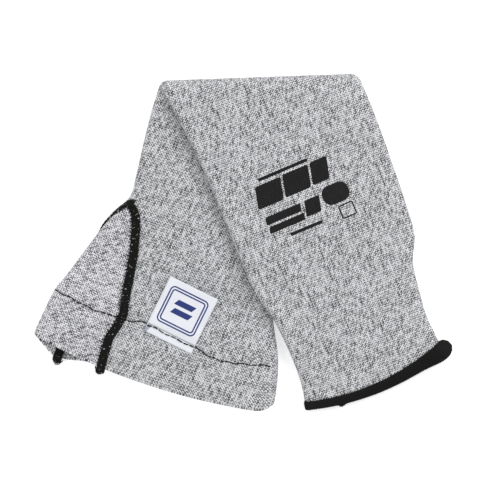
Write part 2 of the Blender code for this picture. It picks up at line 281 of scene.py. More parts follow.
def hem_distance(x, y):
    """How far a point lies above the hem's stitching line."""
    for (x0, y0), (x1, y1) in zip(HEM_CURVE, HEM_CURVE[1:]):
        if x <= x1:
            break
    return (y - mix(y0, y1, (x - x0) / (x1 - x0))) * math.cos(LABEL_TURN)


def droop(x, y):
    """How far the wrist half sinks where the arm half no longer carries it."""
    beyond = (x - CARRIED_TO) * CARRIED_OUT[0] + y * CARRIED_OUT[1]
    return DROOP * smoothstep((beyond - DROOP_START) / DROOP_LENGTH) * smoothstep((JOIN_Y - y) / DROOP_LENGTH)


class Half:
    """One half of the folded sleeve, as a surface that is walked round (ring) and along (station).

    ring is in millimetres of cloth round the flattened tube: from the left crease across the upper layer to the
    right crease, and back across the lower layer. Stations from -1 to 0 are the half's share of the fold.
    """

    def __init__(self, stations, is_arm):
        self.stations = stations
        self.is_arm = is_arm
        self.lean = -LEG_TILT if is_arm else LEG_TILT
        self.tip = (mix(ARM[0][0], WRIST[0][0], 0.5) - FOLD_SPREAD, mix(ARM[0][2], WRIST[0][2], 0.5) + FOLD_SPREAD)

    def row(self, station):
        """(left x, y, right x, y, bulge) of a row; y is measured on the cloth laid flat where it bends."""
        if station >= 0:
            return catmull(self.stations, station)
        left, right = self.stations[0][0], self.stations[0][2]
        y = JOIN_Y - station * TO_FOLD_TIP
        return mix(left, self.tip[0], -station), y, mix(right, self.tip[1], -station), y, 0.0

    def half_round(self, station):
        """Cloth from crease to crease across one layer."""
        lx, ly, rx, ry, _ = self.row(station)
        return math.hypot(rx - lx, ry - ly) + 2 * CREASE_EXTRA

    def plan(self, row, share):
        """x, y at a share of the way along a row."""
        lx, ly, rx, ry, bulge = row
        bow = 4 * bulge * share * (1 - share)
        return lx + (rx - lx) * share + bow * math.sin(self.lean), ly + (ry - ly) * share - bow * math.cos(self.lean)

    def reach(self, x, y):
        """From the tube's middle surface to the middle of either layer."""
        if not self.is_arm:
            return HALF_HEIGHT
        along = -x * math.sin(LEG_TILT) - y * math.cos(LEG_TILT)
        return HALF_HEIGHT + MOUTH_RISE * smoothstep((along - RISE_START) / RISE_LENGTH)

    def middle(self, x, y):
        """Height of the tube's middle surface above the table."""
        if not self.is_arm:
            return 1.5 * TUBE_HEIGHT + GAP - droop(x, y)
        return KNIT / 2 + self.reach(x, y)

    def split(self, station, ring):
        """(is on the upper layer, cloth from the nearer crease, is nearer the left crease, layer's width)."""
        whole = self.half_round(station)
        ring = ring % (2 * whole)
        upper = ring <= whole
        from_left = ring if upper else 2 * whole - ring
        is_left = from_left <= whole / 2
        return upper, (from_left if is_left else whole - from_left), is_left, whole

    def point(self, station, ring, depth=0.0, ahead=0.0, proud=0.0):
        """A point on the middle of the cloth, or depth inside it, or proud of its middle."""
        upper, near, is_left, whole = self.split(station, ring)
        width = whole - 2 * CREASE_EXTRA
        inward = depth - proud
        if near < CREASE_BEND:
            angle = near / CREASE_BEND * math.pi / 2
            inset = inward + (CREASE_WIDTH - inward) * (1 - math.cos(angle))
            lift = math.sin(angle)
        else:
            inset = CREASE_WIDTH + near - CREASE_BEND
            lift = 1.0
        if not upper:
            lift = -lift
        x, y = self.plan(self.row(station), (inset if is_left else width - inset) / width)
        if station >= 0:
            ahead += self.mouth_shift(station, upper, near, is_left)
            x += ahead * math.sin(self.lean)
            y -= ahead * math.cos(self.lean)
            reach = self.reach(x, y) - inward - self.sink(x, y, upper)
            return Vector((x, y, self.middle(x, y) + lift * reach))
        travel = -station * TO_FOLD_TIP
        reach = HALF_HEIGHT - inward
        turn = max(travel - FLAT_BY_FOLD, 0.0) / PATH_RADIUS
        up = -1 if self.is_arm else 1
        radius = PATH_RADIUS + up * lift * reach
        y = JOIN_Y + min(travel, FLAT_BY_FOLD) + (radius + FOLD_SPREAD / 2) * math.sin(turn)
        return Vector((x, y, FOLD_AXIS_Z + up * radius * math.cos(turn)))

    def mouth_shift(self, station, upper, near, is_left):
        """The mouth's rounded right corner, and the lower layer showing past the upper one at the left."""
        if not self.is_arm or station < HEM_STITCH:
            return 0.0
        late = smoothstep((station - HEM_STITCH) / (ARM_MOUTH - HEM_STITCH))
        if is_left and not upper:
            fall = smoothstep((LOWER_SHOWS_END - near) / LOWER_SHOWS_FALL)
            return LOWER_SHOWS * late * smoothstep(near / LOWER_SHOWS_RISE) * fall
        back, length = LEFT_CORNER if is_left else RIGHT_CORNER
        return -back * late * max(1 - near / length, 0.0) ** 2

    def sink(self, x, y, upper):
        """How far the cloth sinks into the tube, in slow waves and along the hem's stitching."""
        layer = 3.0 if upper else 9.0    # each layer has its own waves
        place = Vector((x / WAVE_LENGTH, y / WAVE_LENGTH, layer))
        slow = 0.5 + noise.noise(place)
        fine = 0.5 + noise.noise(place * FINE_WAVES)
        sunk = WAVE_DEPTH * max(slow, 0.0) + FINE_DEPTH * max(fine, 0.0)
        if self.is_arm:
            above = hem_distance(x, y)
            if upper:
                pucker = 0.7 + 0.3 * math.cos(2 * math.pi * x / STITCH_PITCH)
                sunk += STITCH_DEPTH * pucker * hump(above, STITCH_WIDTH)
                sunk -= HEM_FULLNESS * smoothstep((-above - HEM_FULL_FROM) / HEM_FULL_LENGTH)
            else:
                # the lower layer arches over its stitching and its seam, which lie on the table
                sunk += STITCH_ARCH * hump(above, STITCH_ARCH_WIDTH)
                sunk += SEAM_ARCH * hump(x - line_x(LOWER_SEAM, y), SEAM_ARCH_WIDTH)
        return sunk

    def cloth_place(self, station, ring, about_left):
        """(u, v) in millimetres on the tube's cloth laid flat, with v along the wales.

        The upper layer stays as it is, and the lower one is turned out about the left or the right crease.
        """
        upper, near, is_left, whole = self.split(station, ring)
        width = whole - 2 * CREASE_EXTRA
        row = self.row(station)
        inset = CREASE_WIDTH + near - CREASE_BEND
        x, y = self.plan(row, (inset if is_left else width - inset) / width)
        if station < 0:
            # the layer outside the fold is longer than the one inside it
            bent = max(-station * TO_FOLD_TIP - FLAT_BY_FOLD, 0.0)
            outside = 1 if upper != self.is_arm else -1
            y += outside * bent * HALF_HEIGHT / PATH_RADIUS * math.sin(min(near / CREASE_BEND, 1.0) * math.pi / 2)
        past_crease = CREASE_EXTRA / width
        ex, ey = self.plan(row, -past_crease if about_left else 1 + past_crease)
        if not self.is_arm:
            y, ey = 2 * FOLD_TIP_Y - y, 2 * FOLD_TIP_Y - ey
        c, s = math.cos(LEG_TILT), math.sin(LEG_TILT)
        u, v = x * c - y * s, -x * s - y * c
        if not upper:
            u = 2 * (ex * c - ey * s) - u
        return (u if self.is_arm else -u), v


ARM_HALF = Half(ARM, True)
WRIST_HALF = Half(WRIST, False)
# The knit's top by the label's stitching, which pulls it in
LABEL_BASE = KNIT + 2 * ARM_HALF.reach(LABEL_MIDDLE.x, LABEL_MIDDLE.y) - 0.55


def seam_share(station, line):
    """Share of the arm half's row where it meets a seam line."""
    low, high = 0.0, 1.0
    row = ARM_HALF.row(station)
    for _ in range(24):
        share = (low + high) / 2
        x, y = ARM_HALF.plan(row, share)
        if x < line_x(line, y):
            low = share
        else:
            high = share
    return low


def seam_round(station, line):
    """Cloth from the left crease to a seam line."""
    width = ARM_HALF.half_round(station) - 2 * CREASE_EXTRA
    inset = seam_share(station, line) * width
    if inset >= CREASE_WIDTH:
        return inset - CREASE_WIDTH + CREASE_BEND
    return math.acos(1 - inset / CREASE_WIDTH) / (math.pi / 2) * CREASE_BEND


def upper_seam(station):
    """Where the gusset ends on the upper layer, as a ring distance from the left crease."""
    if station <= GUSSET_TIP:
        return GUSSET_TIP_ROUND
    share = smoothstep((station - GUSSET_TIP) / UPPER_SEAM_PARTS)
    return mix(GUSSET_TIP_ROUND, seam_round(station, UPPER_SEAM), share)


def lower_seam(station):
    """Where the gusset ends on the lower layer, past the left crease and so below zero for most of its length."""
    if station <= GUSSET_TIP:
        return GUSSET_TIP_ROUND
    if station >= LOWER_SEAM_UNDER:
        return -seam_round(station, LOWER_SEAM)
    share = (station - GUSSET_TIP) / (LOWER_SEAM_UNDER - GUSSET_TIP)
    return mix(GUSSET_TIP_ROUND, -seam_round(LOWER_SEAM_UNDER, LOWER_SEAM), share ** LOWER_SEAM_BEND)


# -------- meshes

def to_frame(point):
    """A point in the fold's axes and millimetres, in the frame's place and metres."""
    joint = FOLD_JOINT["pos_m"]
    return Vector((
        joint[0] + point[0] * MM,
        joint[1] + (point[1] - FOLD_AXIS_Y) * MM,
        joint[2] + (point[2] - FOLD_AXIS_Z) * MM,
    ))


def add_object(name, data):
    made = bpy.data.objects.new(name, data)
    bpy.context.scene.collection.objects.link(made)
    return made


def add_piece(name, points, faces, material, uvs=None, weld=False):
    """A mesh object from points in the fold's axes; uvs maps a layer's name to one (u, v) per point, in millimetres."""
    mesh = bpy.data.meshes.new(name)
    mesh.from_pydata([to_frame(p) for p in points], [], faces)
    for layer_name, places in (uvs or {}).items():
        layer = mesh.uv_layers.new(name=layer_name)
        for corner in mesh.loops:
            u, v = places[corner.vertex_index]
            layer.data[corner.index].uv = (u * MM, v * MM)
    mesh.validate()
    mesh.shade_smooth()
    mesh.materials.append(material)
    piece = add_object(name, mesh)
    if weld:
        joined = piece.modifiers.new("weld", "WELD")
        joined.merge_threshold = 0.01 * MM
    return piece


def grid_faces(rows, columns, closed=False):
    last = columns if closed else columns - 1
    return [
        (i * columns + j, i * columns + (j + 1) % columns, (i + 1) * columns + (j + 1) % columns, (i + 1) * columns + j)
        for i in range(rows - 1)
        for j in range(last)
    ]


def thicken(piece, thickness):
    shell = piece.modifiers.new("thickness", "SOLIDIFY")
    shell.thickness = thickness
    shell.offset = 0.0
    return piece


def tube(points, radius, sides, parts):
    """Adds a round thread through the points to parts, a (points, faces) pair of lists."""
    all_points, faces = parts
    first = len(all_points)
    side = None
    for i, point in enumerate(points):
        along = (points[min(i + 1, len(points) - 1)] - points[max(i - 1, 0)]).normalized()
        if side is None:
            side = along.orthogonal().normalized()
        side = (side - along * side.dot(along)).normalized()
        other = along.cross(side)
        thin = 0.55 if i in (0, len(points) - 1) else 1.0
        for k in range(sides):
            angle = 2 * math.pi * k / sides
            all_points.append(point + (side * math.cos(angle) + other * math.sin(angle)) * radius * thin)
    for i in range(len(points) - 1):
        for k in range(sides):
            a, b = first + i * sides + k, first + i * sides + (k + 1) % sides
            faces.append((a, b, b + sides, a + sides))
    faces.append(tuple(first + k for k in reversed(range(sides))))
    last = first + (len(points) - 1) * sides
    faces.append(tuple(last + k for k in range(sides)))


def steps(first, last, count):
    return [mix(first, last, k / count) for k in range(count + 1)]


# -------- materials

def add(tree, kind, inputs=None, **settings):
    """A node with its settings, and its inputs set to values or linked to nodes and sockets."""
    made = tree.nodes.new(kind)
    for key, value in settings.items():
        setattr(made, key, value)
    for key, value in (inputs or {}).items():
        if isinstance(value, bpy.types.Node):
            value = value.outputs[0]
        if isinstance(value, bpy.types.NodeSocket):
            tree.links.new(value, made.inputs[key])
        else:
            made.inputs[key].default_value = value
    return made


def new_material(name, **sockets):
    """A material with its shader's own sockets set."""
    made = bpy.data.materials.new(name)
    made.use_nodes = True
    shader = made.node_tree.nodes["Principled BSDF"]
    for key, value in sockets.items():
        shader.inputs[key.replace("_", " ")].default_value = value
    return made, made.node_tree, shader


def maths(tree, operation, *values):
    return add(tree, "ShaderNodeMath", dict(enumerate(values)), operation=operation)


def vectors(tree, operation, *values):
    return add(tree, "ShaderNodeVectorMath", dict(enumerate(values)), operation=operation)


def scaled(tree, vector, factor):
    return add(tree, "ShaderNodeVectorMath", {0: vector, "Scale": factor}, operation="SCALE")


def noise_texture(tree, place, scale, detail, roughness=0.5):
    return add(tree, "ShaderNodeTexNoise", {"Vector": place, "Scale": scale, "Detail": detail,
                                            "Roughness": roughness})


def between(tree, factor, first, second):
    """The colour at a factor between two colours."""
    return add(tree, "ShaderNodeMix", {"Factor": factor, 6: first, 7: second}, data_type="RGBA").outputs[2]


def finish_surface(tree, shader, colour, height, strength, distance):
    """Gives the shader its colour, and a relief with its distance in millimetres."""
    tree.links.new(colour, shader.inputs["Base Color"])
    bump = add(tree, "ShaderNodeBump", {"Height": height, "Strength": strength, "Distance": distance * MM})
    tree.links.new(bump.outputs[0], shader.inputs["Normal"])


LEG_CLIMB = 1.5             # courses that a leg climbs over one wale
LIT_LEG_GAIN = 1.4            # painted light: how much brighter the leg of each loop that would face the light is painted, with deeper painted shade in the gaps beside it


def knit_material(name, light, turn=0.0, ink=None):
    """Weft knit of a heather yarn: light fibres spun with grey ones, in columns of v-shaped loops.

    Every leg of every loop takes its own shade, so the cloth looks flecked from a distance and shows its columns
    only close by. The gaps between loops are darkened with painted shade, and one leg of each loop is painted
    brighter, as if lit from one side.
    """
    sizes, colours = bpy.context.scene.sleeve_sizes, bpy.context.scene.sleeve_colours
    made, tree, shader = new_material(name, Roughness=0.88, Sheen_Weight=0.12, Sheen_Roughness=0.5,
                                      Specular_IOR_Level=0.25)
    place = add(tree, "ShaderNodeUVMap", uv_map="cloth")
    turned = add(tree, "ShaderNodeVectorRotate", {"Vector": place, "Angle": turn}, rotation_type="Z_AXIS")
    # the columns wander by less than half a millimetre, over about 6 mm
    wander = noise_texture(tree, place, 160.0, 1.0)
    wander = vectors(tree, "SUBTRACT", wander.outputs["Color"], (0.5, 0.5, 0.5))
    wavy = vectors(tree, "ADD", turned, scaled(tree, wander, 0.0011))
    loops = vectors(tree, "MULTIPLY", wavy, (1 / sizes.wale, 1 / sizes.course, 1.0))
    split = add(tree, "ShaderNodeSeparateXYZ", {0: loops})
    column = maths(tree, "FLOOR", split.outputs[0])
    in_column = maths(tree, "FRACT", split.outputs[0])
    centred = maths(tree, "SUBTRACT", in_column, 0.5)
    off_centre = maths(tree, "ABSOLUTE", centred)
    climb = maths(tree, "MULTIPLY_ADD", off_centre, LEG_CLIMB, split.outputs[1])
    course = maths(tree, "FLOOR", climb)
    in_course = maths(tree, "FRACT", climb)
    leg = maths(tree, "GREATER_THAN", 0.0, centred)
    cell = add(tree, "ShaderNodeCombineXYZ", {0: column, 1: course, 2: leg})
    chance = add(tree, "ShaderNodeTexWhiteNoise", {"Vector": cell}, noise_dimensions="3D").outputs["Value"]
    # the yarn's round section: highest along the middle of each leg, and thinner at both its ends
    yarn = maths(tree, "MULTIPLY_ADD", in_course, 2.0, -1.0)
    yarn = maths(tree, "MULTIPLY", yarn, yarn)
    yarn = maths(tree, "SUBTRACT", 1.0, yarn)
    yarn = maths(tree, "POWER", yarn, 1.6)
    beside = maths(tree, "MULTIPLY_ADD", off_centre, 4.0, -1.0)
    beside = maths(tree, "MULTIPLY", beside, beside)
    beside = maths(tree, "MULTIPLY_ADD", beside, -0.75, 1.0)
    height = maths(tree, "MULTIPLY", yarn, beside)
    # fibres, drawn out along the wales; about 0.3 mm wide, coarser than real ones so that they show
    drawn_out = vectors(tree, "MULTIPLY", wavy, (1.0, 0.4, 1.0))
    fibres = noise_texture(tree, drawn_out, 1800.0, 2.0, 0.6)
    patches = noise_texture(tree, drawn_out, 330.0, 2.0, 0.6)
    # shade: each leg's own, the fibres, and painted shade in the gaps between the loops; painted light makes one leg
    # of each loop brighter, as if lit from one side, with the deepest painted shade beside it
    depth = maths(tree, "MULTIPLY_ADD", leg, LIT_LEG_GAIN, 0.6)
    shade = maths(tree, "MULTIPLY_ADD", leg, -0.4 * LIT_LEG_GAIN, 0.1)
    for part, weight in ((height, depth), (chance, 0.7), (fibres, 0.6), (patches, 0.15)):
        shade = maths(tree, "MULTIPLY_ADD", part, weight, shade)
    shade = add(tree, "ShaderNodeMapRange", {"Value": shade, "From Min": 0.75, "From Max": 1.31}, clamp=True)
    # from the dark fibres and the painted shade in the gaps up to the light yarn
    colour = between(tree, shade, colours.dark_fibres_and_gap_shade, light)
    if ink:
        colour = ink(tree, colour, height)
    relief = maths(tree, "MULTIPLY_ADD", fibres, 0.35, height)
    finish_surface(tree, shader, colour, relief, 0.8, 0.35)
    return made


# The printed marks: blocks of ink, each (x, y, half width, half height, slant, corner, line width or 0 for solid),
# in millimetres from the middle of the print
PRINT_MIDDLE = (20.3, -66.5)
PRINT_TURN = math.radians(21.0)
OFF_PRINT = (9000.0, 9000.0)    # far from every mark, for cloth that carries no print
PRINT_BLOCKS = [
    (-3.0, 17.4, 14.5, 0.9, 0.0, 0.4, 0.0),
    (-14.6, 8.4, 7.6, 6.2, 0.25, 1.2, 0.0),
    (1.8, 8.8, 7.6, 6.2, 0.25, 1.2, 0.0),
    (15.6, 9.2, 5.0, 6.2, 0.25, 1.2, 0.0),
    (-12.0, -5.2, 10.4, 2.2, 0.25, 0.8, 0.0),
    (-12.0, -10.6, 10.4, 1.9, 0.25, 0.8, 0.0),
    (4.6, -7.2, 4.4, 4.4, 0.25, 0.8, 0.0),
    (18.8, -5.6, 7.6, 5.4, 0.0, 4.6, 0.0),
    (-3.4, -17.0, 9.4, 0.9, 0.0, 0.4, 0.0),
    (21.4, -16.6, 4.4, 4.0, 0.0, 1.2, 0.8),
]


def marks_mask(tree, place, marks):
    """1 inside the marks, which are rounded blocks or outlines of rounded blocks, and 0 outside them."""
    mask = None
    for x, y, half_width, half_height, slant, corner, line in marks:
        local = vectors(tree, "SUBTRACT", place, (x * MM, y * MM, 0.0))
        parts = add(tree, "ShaderNodeSeparateXYZ", {0: local})
        leant = maths(tree, "MULTIPLY_ADD", parts.outputs[1], -slant, parts.outputs[0])
        local = add(tree, "ShaderNodeCombineXYZ", {0: leant, 1: parts.outputs[1]})
        local = vectors(tree, "ABSOLUTE", local)
        local = vectors(tree, "SUBTRACT", local, ((half_width - corner) * MM, (half_height - corner) * MM, 0.0))
        local = vectors(tree, "MAXIMUM", local, (0.0, 0.0, 0.0))
        away = vectors(tree, "LENGTH", local).outputs["Value"]
        block = maths(tree, "LESS_THAN", away, corner * MM)
        if line:
            hollow = maths(tree, "GREATER_THAN", away, (corner - line) * MM)
            block = maths(tree, "MULTIPLY", block, hollow)
        mask = maths(tree, "MAXIMUM", mask, block) if mask else block
    return mask


def print_ink(tree, cloth, height):
    """Screen printed ink: flat black blocks that sit on the loops and miss some of the gaps between them."""
    colours = bpy.context.scene.sleeve_colours
    mask = marks_mask(tree, add(tree, "ShaderNodeUVMap", uv_map="print"), PRINT_BLOCKS)
    reached = add(tree, "ShaderNodeMapRange", {"Value": height, "From Min": 0.0, "From Max": 0.1,
                                               "To Min": 0.88, "To Max": 1.0}, clamp=True)
    return between(tree, maths(tree, "MULTIPLY", reached, mask), cloth, colours.ink)


def thread_material(name, caught=False):
    """Textured polyester thread, black and slightly fluffy; caught adds the pale fibres held between stitches."""
    colours = bpy.context.scene.sleeve_colours
    made, tree, shader = new_material(name, Roughness=0.7, Sheen_Weight=0.03, Specular_IOR_Level=0.2)
    place = add(tree, "ShaderNodeTexCoord").outputs["Object"]
    fluff = noise_texture(tree, place, 2600.0, 3.0)
    shade = add(tree, "ShaderNodeMapRange", {"Value": fluff, "From Min": 0.3, "From Max": 0.75,
                                             "To Min": 0.3, "To Max": 1.6})
    colour = scaled(tree, colours.thread[:3], shade).outputs[0]
    if caught:
        # flecks about half a millimetre across, a few to each centimetre of seam
        flecks = noise_texture(tree, place, 900.0, 0.0)
        flecks = add(tree, "ShaderNodeMapRange", {"Value": flecks, "From Min": 0.74, "From Max": 0.80,
                                                  "To Max": 0.7}, clamp=True)
        colour = between(tree, flecks, colour, colours.knit)
    finish_surface(tree, shader, colour, fluff, 0.6, 0.12)
    return made


# Label marks: the same fields as the printed blocks
LABEL_MARKS = [
    (0.0, 14.4, 11.6, 10.8, 0.0, 2.8, 0.8),
    (0.0, 14.4, 10.1, 9.3, 0.0, 1.8, 0.8),
    (0.0, 17.6, 5.4, 1.6, 0.5, 0.2, 0.0),
    (0.0, 12.6, 5.4, 1.6, 0.5, 0.2, 0.0),
]
TAIL_FOLD_SHADE = [
    (-13.4, -2.4, 1.1, 2.3, 0.3, 0.3, 0.0),     # painted shade: blue-grey where the tail's end is folded in, a fold that the flat tail does not have
]


def label_material(name, marks, strength):
    """Satin woven label: smooth white warp with a soft sheen, and marks woven in blue, or on the tail a painted
    blue-grey shade where its end is folded in.
    """
    colours = bpy.context.scene.sleeve_colours
    made, tree, shader = new_material(name, Roughness=0.55, Sheen_Weight=0.1, Specular_IOR_Level=0.4)
    place = add(tree, "ShaderNodeUVMap", uv_map="cloth")
    # warp and weft at 0.35 mm, coarser than a real satin so that it shows
    warp, weft = (
        add(tree, "ShaderNodeTexWave", {"Vector": place, "Scale": 900.0, "Distortion": 0.4}, wave_type="BANDS",
            bands_direction=direction).outputs["Fac"]
        for direction in ("X", "Y")
    )
    weave = maths(tree, "MULTIPLY", warp, weft)
    soft = noise_texture(tree, place, 90.0, 2.0)
    shade = maths(tree, "MULTIPLY_ADD", soft, 0.16, 0.86)
    shade = maths(tree, "MULTIPLY_ADD", weave, 0.06, shade)
    colour = scaled(tree, colours.label[:3], shade).outputs[0]
    mask = maths(tree, "MULTIPLY", marks_mask(tree, place, marks), strength)
    finish_surface(tree, shader, between(tree, mask, colour, colours.label_mark), weave, 0.35, 0.06)
    return made


# -------- operators

class SleeveOperator:
    """What the sleeve's operators share"""

    bl_options = {"REGISTER", "UNDO"}


def knit_panel(name, half, rows, start, stop, material, about_left=False, printed=False):
    """A panel of the tube: rows of (station, depth, ahead), from ring start(station) to stop(station)."""
    step = bpy.context.scene.sleeve_sizes.mesh_step / MM
    widest = max(half.half_round(station) for station, _, _ in rows)
    span = max(stop(station) - start(station) for station, _, _ in rows)
    count = max(round(span / step), 6)
    crease = round(count / 2) if span > widest else None    # the column that follows the right crease
    points, places, prints = [], [], []
    c, s = math.cos(PRINT_TURN), math.sin(PRINT_TURN)
    for station, depth, ahead in rows:
        low, high = start(station), stop(station)
        whole = half.half_round(station)
        if crease:
            rings = steps(low, whole, crease) + steps(whole, high, count - crease)[1:]
        else:
            rings = steps(low, high, count)
        for ring in rings:
            points.append(half.point(station, ring, depth, ahead))
            places.append(half.cloth_place(station, ring, about_left))
            if printed:
                x, y = points[-1].x - PRINT_MIDDLE[0], points[-1].y - PRINT_MIDDLE[1]
                on_top = half.split(station, ring)[0]
                prints.append((x * c + y * s, y * c - x * s) if on_top else OFF_PRINT)
    columns = len(points) // len(rows)
    uvs = {"cloth": places}
    if printed:
        uvs["print"] = prints
    piece = add_piece(name, points, grid_faces(len(rows), columns), material, uvs, weld=True)
    return thicken(piece, bpy.context.scene.sleeve_sizes.knit)


def flat_rows(first, last, count, depth=0.0):
    return [(station, depth, 0.0) for station in steps(first, last, count)]


def arm_rows(first):
    """Rows of the arm half: down to the mouth, round its edge and back up inside as far as the hem goes."""
    rows = flat_rows(first, 0.0, FOLD_ROWS)[:-1] if first < 0 else []
    start = max(first, 0.0)
    rows += flat_rows(start, ARM_MOUTH, round((ARM_MOUTH - start) * ARM_ROWS_PER_STATION))
    radius = HEM_DEPTH / 2
    for k in range(1, TURNED_EDGE_ROWS):
        angle = math.pi * k / TURNED_EDGE_ROWS
        rows.append((ARM_MOUTH, radius * (1 - math.cos(angle)), radius * math.sin(angle)))
    return rows + flat_rows(ARM_MOUTH, HEM_INNER_EDGE, HEM_ROWS, HEM_DEPTH)


class SLEEVE_OT_arm_knit(SleeveOperator, bpy.types.Operator):
    """Make the arm half's knit panel and the gusset let into it, each with its turned hem"""

    bl_idname = "sleeve.arm_knit"
    bl_label = "Arm Half"

    def execute(self, context):
        colours = context.scene.sleeve_colours
        knit = knit_material("heather_grey_weft_knit", colours.knit)
        panel = knit_panel(
            "arm_knit", ARM_HALF, arm_rows(FOLD_TIP), upper_seam,
            lambda station: 2 * ARM_HALF.half_round(station) + lower_seam(station), knit,
        )
        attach(panel, "arm_half")
        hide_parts("arm_upper_knit", "arm_lower_knit", "hem_upper", "hem_lower", "fold_outer_knit",
                    "fold_inner_knit")
        # painted light: the gusset's knit is given a lighter colour for the way light catches its loops that run across
        turned_knit = knit_material("heather_grey_weft_knit_cut_across", colours.gusset, turn=math.radians(-52))
        gusset = knit_panel("gusset", ARM_HALF, arm_rows(GUSSET_TIP), lower_seam, upper_seam, turned_knit,
                            about_left=True)
        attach(gusset, "arm_half")
        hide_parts("gusset_upper", "gusset_lower")
        return {"FINISHED"}


class SLEEVE_OT_wrist_knit(SleeveOperator, bpy.types.Operator):
    """Make the wrist half's knitted tube with its printed marks"""

    bl_idname = "sleeve.wrist_knit"
    bl_label = "Wrist Half"

    def execute(self, context):
        knit = knit_material("heather_grey_weft_knit_printed", context.scene.sleeve_colours.knit, ink=print_ink)
        rows = flat_rows(FOLD_TIP, 0.0, FOLD_ROWS)[:-1] + flat_rows(0.0, WRIST_MOUTH - KNIT_IN_EDGE, WRIST_ROWS)
        tube_panel = knit_panel("wrist_knit", WRIST_HALF, rows, lambda station: 0.0,
                                lambda station: 2 * WRIST_HALF.half_round(station), knit, printed=True)
        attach(tube_panel, "wrist_half")
        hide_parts("wrist_upper_knit", "wrist_lower_knit")
        return {"FINISHED"}


def seam_strip(name, curve, first, last, thread):
    """An overlocked seam: a ridge of cloth wrapped in stitches, with a thick thread along one edge."""
    sizes = bpy.context.scene.sleeve_sizes
    half_width = sizes.seam_width / MM / 2
    pitch = sizes.seam_pitch / MM
    radius = sizes.thread / MM / 2
    fine = steps(first, last, 400)
    line = [ARM_HALF.point(s, curve(s)) for s in fine]
    lengths = [0.0]
    for a, b in zip(line, line[1:]):
        lengths.append(lengths[-1] + (b - a).length)

    # at the mouth the seam follows the hem round its turned edge and a little way back up inside
    turn = (HEM_DEPTH + KNIT) / 2
    total = lengths[-1] + math.pi * turn + SEAM_INSIDE

    def on_seam(along, across, above):
        past = max(along - lengths[-1], 0.0)
        angle = min(past / turn, math.pi)
        along = min(max(along, 0.0), lengths[-1]) - max(past - math.pi * turn, 0.0)
        i = max(bisect.bisect_left(lengths, along), 1)
        share = (along - lengths[i - 1]) / max(lengths[i] - lengths[i - 1], 1e-6)
        station = mix(fine[i - 1], fine[i], share)
        ring = (curve(station) + across) % (2 * ARM_HALF.half_round(station))
        out = turn + above
        ahead = SEAM_END_SWELL * out + SEAM_END_SLANT * (half_width - across)
        ahead *= (1 - SEAM_END_ROUND * (across / half_width) ** 2) * math.sin(angle)
        point = ARM_HALF.point(station, ring, HEM_DEPTH / 2 - out * math.cos(angle), ahead)
        point.z = max(point.z, radius)
        return point

    def narrowing(along, least):
        """Share of the seam's width that is left near its round ends."""
        end = min(along, total - along) / half_width
        return math.sqrt(max(1 - (1 - end) ** 2, least)) if end < 1 else 1.0

    # the ridge's section, (share of half the width, height)
    section = [(-1.0, -0.1), (-0.97, 0.35), (-0.8, 0.62), (-0.4, 0.78), (0.1, 0.85), (0.6, 0.85), (0.9, 0.6),
               (1.0, 0.3), (1.0, -0.1)]
    points = []
    count = round(total / SEAM_ROW)
    for k in range(count + 1):
        along = total * k / count
        narrow = narrowing(along, 0.0)
        for across, above in section:
            points.append(on_seam(along, across * half_width * max(narrow, 0.15), above * max(narrow, 0.3)))
    parts = (points, grid_faces(count + 1, len(section)))
    dice = random.Random(11)
    stitches = round(total / pitch)
    for k in range(stitches):
        start = k * pitch
        narrow = narrowing(start, 0.05)
        reach = 1.3 if k % 2 else 0.96    # every other stitch goes further into the cloth
        # (share of half the width, height, share of the pitch)
        path = [(-reach, 0.05, 0.0), (-reach, 0.45, 0.1), (-0.72, 0.95, 0.25), (-0.1, 1.1, 0.45),
                (0.55, 1.12, 0.62), (0.95, 0.85, 0.8), (1.06, 0.3, 0.85)]
        path = [on_seam(start + (ahead + dice.uniform(-0.06, 0.06)) * pitch, across * half_width * narrow,
                        above * narrow)
                for across, above, ahead in path]
        tube(path, radius * dice.uniform(0.85, 1.1), THREAD_SIDES, parts)
    # the thick thread winds along its edge, once round in four steps
    edge = [on_seam(k * pitch / 2, half_width * (0.86 + 0.1 * math.sin(k * 1.57)), 0.95 + 0.12 * math.cos(k * 1.57))
            for k in range(stitches * 2 + 1)]
    tube(edge, radius * 1.5, THREAD_SIDES, parts)
    piece = add_piece(name, *parts, thread)
    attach(piece, "arm_half")
    return piece


class SLEEVE_OT_overlocking(SleeveOperator, bpy.types.Operator):
    """Make the two overlocked seams of the gusset"""

    bl_idname = "sleeve.overlocking"
    bl_label = "Gusset Seams"

    def execute(self, context):
        thread = thread_material("black_polyester_overlocking", caught=True)
        upper = seam_strip("gusset_seam_upper_overlock", upper_seam, GUSSET_TIP - 0.12, ARM_MOUTH, thread)
        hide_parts("gusset_seam_upper")
        lower = seam_strip("gusset_seam_lower_overlock", lower_seam, GUSSET_TIP, ARM_MOUTH, thread)
        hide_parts("gusset_seam_lower")
        return {"FINISHED"}


